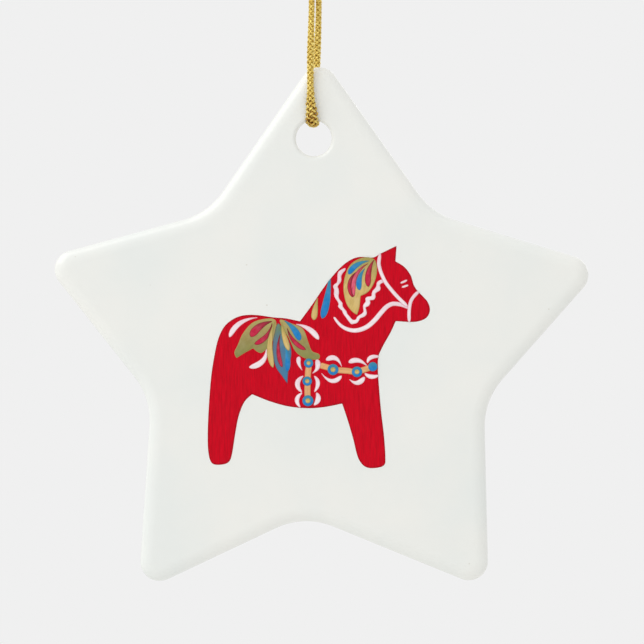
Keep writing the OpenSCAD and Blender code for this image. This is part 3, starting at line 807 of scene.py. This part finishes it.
def film(loop, floor, height, under, step, edge, grain):
    """One island of paint as a closed solid: its vertices, its faces, and what its finish reads."""
    points, triangles = fill_area([loop], step)
    away = distance_to(points, loop)
    rise = np.sqrt(1 - (1 - np.clip(away / edge, 0, 1)) ** 2)
    # The paint stands a little thinner near its edge than in the middle of a stroke
    swell = 0.82 + 0.18 * np.clip(away / (3 * edge), 0, 1)
    top = np.column_stack([points[:, 0], floor - height * rise * swell, points[:, 1]])
    below = top.copy()
    below[:, 1] = under
    n = len(points)
    faces = []
    for f in triangles:
        a, b, c = points[f]
        turned = (b[0] - a[0]) * (c[1] - a[1]) - (b[1] - a[1]) * (c[0] - a[0]) > 0
        up = f if turned else f[::-1]
        faces.append(up)
        faces.append([i + n for i in up[::-1]])
    for a, b in outer_ring(faces[::2]):
        faces.append([b, a, a + n, b + n])
    middle = points.mean(0)
    if grain is None:  # along the stroke's own length
        grain = np.linalg.svd(points - middle, full_matrices=False)[2][0]
    across = np.array([-grain[1], grain[0]])
    own = float(middle.sum()) * 7  # gives each stroke brush marks of its own
    brush = np.column_stack([(points - middle) @ grain, (points - middle) @ across, np.full(n, own)])
    rim = np.clip(away / RIM_WIDTH, 0, 1)
    run = (points[:, 1].max() - points[:, 1]) / np.ptp(points[:, 1])
    return np.vstack([top, below]), faces, np.tile(rim, 2), np.tile(run, 2), np.vstack([brush, brush])


def make_paint(node, material, settings):
    """All the strokes of one painted node as one piece."""
    low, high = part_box(node)
    ground_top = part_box("horse_ground")[0][1]
    broad = node == "horse_ground"
    under = (FACE_Y if broad else ground_top) + SUNK
    outline_step, area_step, edge = GROUND_STEPS if broad else STROKE_STEPS
    vertices, faces, rims, runs, brushes = [], [], [], [], []
    for outline in front_outlines(node):
        loop = even_loop(outline, outline_step, CORNER_SOFTNESS)
        made = film(loop, high[1], (high[1] - low[1]) * settings.relief, under, area_step, edge,
                    np.array([0.0, 1.0]) if broad else None)
        first = sum(len(v) for v in vertices)
        vertices.append(made[0])
        faces += [[first + i for i in f] for f in made[1]]
        rims.append(made[2])
        runs.append(made[3])
        brushes.append(made[4])
    piece = new_piece("painted_" + node, np.vstack(vertices), faces, material)
    write_values(piece.data, "rim", np.concatenate(rims))
    write_values(piece.data, "run", np.concatenate(runs))
    write_values(piece.data, "brush", np.vstack(brushes))
    sharpen(piece.data)
    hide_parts(node)
    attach(piece, "star")


def sharpen(mesh):
    """Keeps edges crisp where two faces meet steeply."""
    work = bmesh.new()
    work.from_mesh(mesh)
    for edge in work.edges:
        if len(edge.link_faces) == 2 and edge.calc_face_angle(0) > CREASE:
            edge.smooth = False
    work.to_mesh(mesh)
    work.free()


# ---- The gold cord ----

STRAND_SIDES = 8
CORE_SIDES = 10
CORE_EVERY = 4  # the core has a ring at every fourth point of the route
CORD_STEP = 0.08 * MM
LIP_PRESS = (2.1 * MM, 3.1 * MM)  # where along a strand it is pressed on the lip, and over how far
FULLER = (11.5 * MM, 3.6 * MM)  # where the strands meet above the star's tip
WRAP_POINTS = 15
FRAYED = 1.3 * MM


def carried_axes(route, start):
    """For each point of a route its direction and two axes square to it, carried along evenly."""
    ahead = np.gradient(route, axis=0)
    ahead /= np.linalg.norm(ahead, axis=1)[:, None]
    axis = np.array(start, float)
    first = []
    for d in ahead:
        axis = axis - (axis @ d) * d
        axis = axis / np.linalg.norm(axis)
        first.append(axis)
    first = np.array(first)
    return ahead, first, np.cross(ahead, first)


def braid(route, settings, wide=1.0, flat=1.0, flare=0.0, start=(1, 0, 0), phase=0.0):
    """A round braid along a route: strands that wind both ways, over and under, on a core.

    wide and flat scale its width and thickness, and flare opens its strands, each by one number
    or by one for each point.
    Returns vertices, faces, and the ply and depth values that its finish reads; the depth sets painted
    shade."""
    count, n = settings.strands, len(route)
    ahead, side, front = carried_axes(route, start)
    along = lengths_along(route)
    wide, flat, flare = (np.ones(n) * given for given in (wide, flat, flare))
    radius = settings.diameter / 2
    strand_w, strand_t = 0.39 * radius, 0.23 * radius
    weave = 0.18 * radius
    middle = radius - strand_t - 0.7 * weave
    spacing = settings.lay / (2 * count)
    vertices, faces, ply, depth = [], [], [], []

    def add_tube(rings, values, level):
        first = sum(len(v) for v in vertices)
        m = len(rings[0])
        vertices.append(np.vstack(rings))
        ply.append(np.vstack(values))
        depth.append(np.repeat(level, m))
        faces.extend(skin_rings(rings, first))
        faces.append([first + j for j in range(m)][::-1])
        faces.append([first + (len(rings) - 1) * m + j for j in range(m)])

    around = np.arange(STRAND_SIDES) / STRAND_SIDES * TURN
    for way in (1, -1):
        for k in range(count):
            turn = way * TURN * along / settings.lay + TURN * k / count + phase
            lift = way * weave * np.cos(math.pi * along / spacing)
            # Each strand comes loose by a share of its own
            loose = flare * (0.6 + 0.5 * math.sin(2.4 * k + 1.3 * way))
            reach = (middle + lift) * (1 + loose)
            out = side * np.cos(turn)[:, None] + front * np.sin(turn)[:, None]
            centre = (route + side * (reach * np.cos(turn) * wide)[:, None]
                      + front * (reach * np.sin(turn) * flat)[:, None])
            run = np.gradient(centre, axis=0)
            run /= np.linalg.norm(run, axis=1)[:, None]
            out = out - (out * run).sum(1)[:, None] * run
            out /= np.linalg.norm(out, axis=1)[:, None]
            cross = np.cross(run, out)
            rings = [centre[i] + strand_w * np.cos(around)[:, None] * cross[i]
                     + strand_t * np.sin(around)[:, None] * out[i] for i in range(n)]
            values = [np.column_stack([np.full(STRAND_SIDES, along[i] / MM), around,
                                       np.full(STRAND_SIDES, 3.1 * k + 7.7 * way)]) for i in range(n)]
            # The depth is painted shade: low in the dips of the weave and where a strand comes loose
            add_tube(rings, values, 0.5 + 0.5 * lift / weave - 2.4 * np.minimum(loose, 0.3))
    core = 0.62 * middle
    circle = np.arange(CORE_SIDES) / CORE_SIDES * TURN
    keep = slice(None, None, CORE_EVERY)
    rings = [p + core * (np.cos(circle)[:, None] * s * w + np.sin(circle)[:, None] * f * t)
             for p, s, f, w, t in zip(route[keep], side[keep], front[keep], wide[keep], flat[keep])]
    add_tube(rings, [np.column_stack([np.full(CORE_SIDES, i * 0.3), circle, np.zeros(CORE_SIDES)])
                     for i in range(len(rings))], np.zeros(len(rings)))
    return vertices, faces, ply, depth


def cord_piece(name, made, material):
    """One piece from the vertices, faces and values of one or more braids."""
    vertices, faces, ply, depth = [], [], [], []
    for v, f, p, d in made:
        first = sum(len(a) for a in vertices)
        vertices += v
        faces += [[first + i for i in face] for face in f]
        ply += p
        depth += d
    piece = new_piece(name, np.vstack(vertices), faces, material)
    write_values(piece.data, "ply", np.vstack(ply))
    write_values(piece.data, "depth", np.concatenate(depth))
    return piece


def hump(along, place):
    """A smooth hump that is 1 at a place along a strand and fades over its reach."""
    at, reach = place
    return np.exp(-((along - at) / reach) ** 2)


def make_strand(name, points, nodes, settings, material, spreading):
    """One strand of the loop, from the middle of the hole up into the knot."""
    route = smooth_route(points, CORD_STEP)
    along = np.arange(len(route)) / (len(route) - 1) * length_of(route)
    # Pulled tight over the hole's lip, the soft braid spreads, flattens and loosens;
    # above the tip of the star, where the strands meet, it is a little fuller
    pressed = hump(along, LIP_PRESS)
    woven = braid(route, settings, wide=1.02 + spreading * pressed + 0.3 * hump(along, FULLER),
                  flat=1 - 0.12 * pressed, flare=0.25 * spreading * pressed)
    piece = cord_piece(name, [woven], material)
    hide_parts(*nodes)
    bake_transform(piece)


def make_knot(settings, material):
    """The overhand knot that ties both ends together, with its two short frayed tails."""
    made = []
    for s, tail in ((-1, TAIL_LEFT), (1, TAIL_RIGHT)):
        points = [(0.48 * s, 0, 1.7), (0.46 * s, 0.1 * s, 2.6), (0.3 * s, 0.35 * s, 3.6),
                  (0.42 * s, 0.1 * s, 4.5)] + tail
        route = smooth_route(points, CORD_STEP)
        along = np.arange(len(route)) / (len(route) - 1) * length_of(route)
        fray = np.clip((along - along[-1] + FRAYED) / FRAYED, 0, 1) ** 2
        made.append(braid(route, settings, flare=0.9 * fray, phase=0.4 * s))
        # The wrap round both strands: each cord goes once round, one above the other
        wrap = []
        for i in range(WRAP_POINTS):
            t = i / (WRAP_POINTS - 1)
            a = math.radians(70 - 400 * t)
            tuck = 0.52 + 0.6 * math.sin(math.pi * t) ** 0.35
            wrap.append((tuck * math.cos(a) * 1.02, tuck * math.sin(a),
                         4.2 - 1.5 * t + 0.42 * s * math.sin(math.pi * t) ** 0.3 + 0.36 * math.cos(a)))
        made.append(braid(smooth_route(wrap, CORD_STEP), settings, start=(0, 0, 1), phase=0.9 * s))
    piece = cord_piece("gold_cord_knot", made, material)
    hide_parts("cord_knot", "cord_tail_left", "cord_tail_right")
    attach(piece, "hanging_cord")
    return piece


# ---- The stage ----

VIEW_MIDDLE = (1.15, -77.3)  # millimetres to the right of the hole and up from the hook
CAMERA_AWAY = 1.5
SENSOR = 36
FLOOR_BELOW = 0.045
FLOOR_RADIUS = 1.1
FLOOR_RINGS = (FLOOR_RADIUS, 0.5, 0.2, 0.02)
FLOOR_POINTS = 96

# Each light's place, its size and its share of the key light's power
KEY_LIGHT = ((-0.5, -0.27, 0.45), 0.7, 1.0)
REAR_LIGHT = ((0.5, 0.7, 0.3), 0.6, 0.35)


def make_camera(settings):
    """A long lens, straight in front of the star."""
    data = bpy.data.cameras.new("view")
    data.sensor_width = SENSOR
    data.lens = SENSOR * CAMERA_AWAY / settings.view_width
    data.clip_end = 20
    camera = bpy.data.objects.new("view", data)
    camera.location = (VIEW_MIDDLE[0] * MM, FACE_Y - CAMERA_AWAY, VIEW_MIDDLE[1] * MM)
    camera.rotation_euler = (math.pi / 2, 0, 0)
    bpy.context.scene.collection.objects.link(camera)
    bpy.context.scene.camera = camera


def area_light(name, light_facts, power):
    """A soft square light that points at the middle of the view."""
    place, size, share = light_facts
    data = bpy.data.lights.new(name, "AREA")
    data.size = size
    data.energy = power * share
    light = bpy.data.objects.new(name, data)
    light.location = place
    target = Vector((VIEW_MIDDLE[0] * MM, FACE_Y, VIEW_MIDDLE[1] * MM))
    light.rotation_euler = (target - Vector(place)).to_track_quat("-Z", "Y").to_euler()
    bpy.context.scene.collection.objects.link(light)


def make_world(settings):
    """An even pale surround; what lights the star is a little dimmer than what the view shows."""
    world = bpy.data.worlds.new("surround")
    bpy.context.scene.world = world
    world.use_nodes = True
    tree = world.node_tree
    tree.nodes.clear()
    shown, fill = (tree.nodes.new("ShaderNodeBackground") for _ in range(2))
    shown.inputs["Color"].default_value = (*settings.backdrop, 1)
    fill.inputs["Color"].default_value = (1, 1, 1, 1)
    fill.inputs["Strength"].default_value = settings.fill
    mix, out = tree.nodes.new("ShaderNodeMixShader"), tree.nodes.new("ShaderNodeOutputWorld")
    path = tree.nodes.new("ShaderNodeLightPath")
    tree.links.new(path.outputs["Is Camera Ray"], mix.inputs[0])
    tree.links.new(fill.outputs[0], mix.inputs[1])
    tree.links.new(shown.outputs[0], mix.inputs[2])
    tree.links.new(mix.outputs[0], out.inputs[0])


def make_floor(settings):
    """A round pale floor below the star, which fades into the backdrop at its rim."""
    made = Finish("pale_floor").set(Roughness=0.8)
    tree = made.tree
    grain = noise(tree, made.object_place(), 60, 4.0)
    made.colour(made.blend(grain, linear(232, 232, 230), linear(240, 240, 239)))
    made.bumps((grain, 2e-4, 0.1))
    glow = tree.nodes.new("ShaderNodeEmission")
    glow.inputs["Color"].default_value = (*settings.backdrop, 1)
    length = tree.nodes.new("ShaderNodeVectorMath")
    length.operation = "LENGTH"
    tree.links.new(made.object_place(), length.inputs[0])
    mix = tree.nodes.new("ShaderNodeMixShader")
    fade = spread(tree, length.outputs["Value"], 0.35 * FLOOR_RADIUS, 0.95 * FLOOR_RADIUS)
    tree.links.new(fade, mix.inputs[0])
    tree.links.new(made.shader.outputs[0], mix.inputs[1])
    tree.links.new(glow.outputs[0], mix.inputs[2])
    tree.links.new(mix.outputs[0], tree.nodes["Material Output"].inputs["Surface"])
    turns = np.arange(FLOOR_POINTS) / FLOOR_POINTS * TURN
    rings = [[(r * math.cos(a), r * math.sin(a), 0) for a in turns] for r in FLOOR_RINGS]
    points = [p for ring in rings for p in ring]
    faces = skin_rings(rings, 0) + [list(range(len(points) - FLOOR_POINTS, len(points)))]
    floor = new_piece("floor", points, faces, made.material)
    floor.location = (0, 0, CAD_BOX[0][2] - FLOOR_BELOW)


# ---- Operators ----


class MakeStage(bpy.types.Operator):
    """Make the camera, the lights, the surround and the floor"""

    bl_idname = "star_ornament.make_stage"
    bl_label = "Stage"

    def execute(self, context):
        settings = context.scene.stage_settings
        context.scene.view_settings.view_transform = "Standard"
        make_camera(settings)
        make_world(settings)
        make_floor(settings)
        area_light("key_light", KEY_LIGHT, settings.key)
        area_light("rear_light", REAR_LIGHT, settings.key)
        return {"FINISHED"}


class MakeStar(bpy.types.Operator):
    """Make the glazed porcelain star"""

    bl_idname = "star_ornament.make_star"
    bl_label = "Porcelain Star"

    def execute(self, context):
        make_star(context.scene.star_settings)
        return {"FINISHED"}


class PaintHorse(bpy.types.Operator):
    """Paint the horse on the star, one piece for each painted layer"""

    bl_idname = "star_ornament.paint_horse"
    bl_label = "Painted Horse"

    def execute(self, context):
        settings = context.scene.paint_settings
        finishes = {name: paint_finish(name, settings) for name in dict.fromkeys(PAINTED.values())}
        for node, colour in PAINTED.items():
            make_paint(node, finishes[colour], settings)
        return {"FINISHED"}


class MakeCord(bpy.types.Operator):
    """Make the two strands of gold braid and the knot that joins them"""

    bl_idname = "star_ornament.make_cord"
    bl_label = "Gold Cord"

    def execute(self, context):
        settings = context.scene.cord_settings
        material = gold_finish(settings)
        knot = make_knot(settings, material)
        make_strand("gold_cord_front_strand", FRONT_ROUTE, ("cord_front_lower", "cord_front_upper"),
                    settings, material, 1.05)
        make_strand("gold_cord_back_strand", BACK_ROUTE, ("cord_back_lower", "cord_back_upper"),
                    settings, material, 0.7)
        return {"FINISHED"}


class OrnamentPanel(bpy.types.Panel):
    """Lists what makes the ornament, and the sizes and colours it is made with"""

    bl_idname = "VIEW3D_PT_star_ornament"
    bl_label = "Star Ornament"
    bl_space_type = "VIEW_3D"
    bl_region_type = "UI"
    bl_category = "Star Ornament"

    def draw(self, context):
        for maker, group in MAKERS:
            box = self.layout.box()
            box.operator(maker.bl_idname)
            settings = getattr(context.scene, group)
            for name in settings.bl_rna.properties.keys():
                if name not in ("rna_type", "name"):
                    box.prop(settings, name)


MAKERS = [
    (MakeStage, "stage_settings"),
    (MakeStar, "star_settings"),
    (PaintHorse, "paint_settings"),
    (MakeCord, "cord_settings"),
]
SETTINGS = {
    "stage_settings": StageSettings,
    "star_settings": StarSettings,
    "paint_settings": PaintSettings,
    "cord_settings": CordSettings,
}


def register():
    """Registers the settings, the operators and the panel."""
    for name, group in SETTINGS.items():
        bpy.utils.register_class(group)
        setattr(bpy.types.Scene, name, PointerProperty(type=group))
    for maker, _ in MAKERS:
        bpy.utils.register_class(maker)
    bpy.utils.register_class(OrnamentPanel)


def unregister():
    """Takes them all away again."""
    bpy.utils.unregister_class(OrnamentPanel)
    for maker, _ in reversed(MAKERS):
        bpy.utils.unregister_class(maker)
    for name, group in SETTINGS.items():
        delattr(bpy.types.Scene, name)
        bpy.utils.unregister_class(group)


def main():
    """Makes the whole ornament."""
    register()
    bpy.ops.star_ornament.make_stage()
    bpy.ops.star_ornament.make_star()
    bpy.ops.star_ornament.paint_horse()
    bpy.ops.star_ornament.make_cord()


if __name__ == "__main__":
    main()
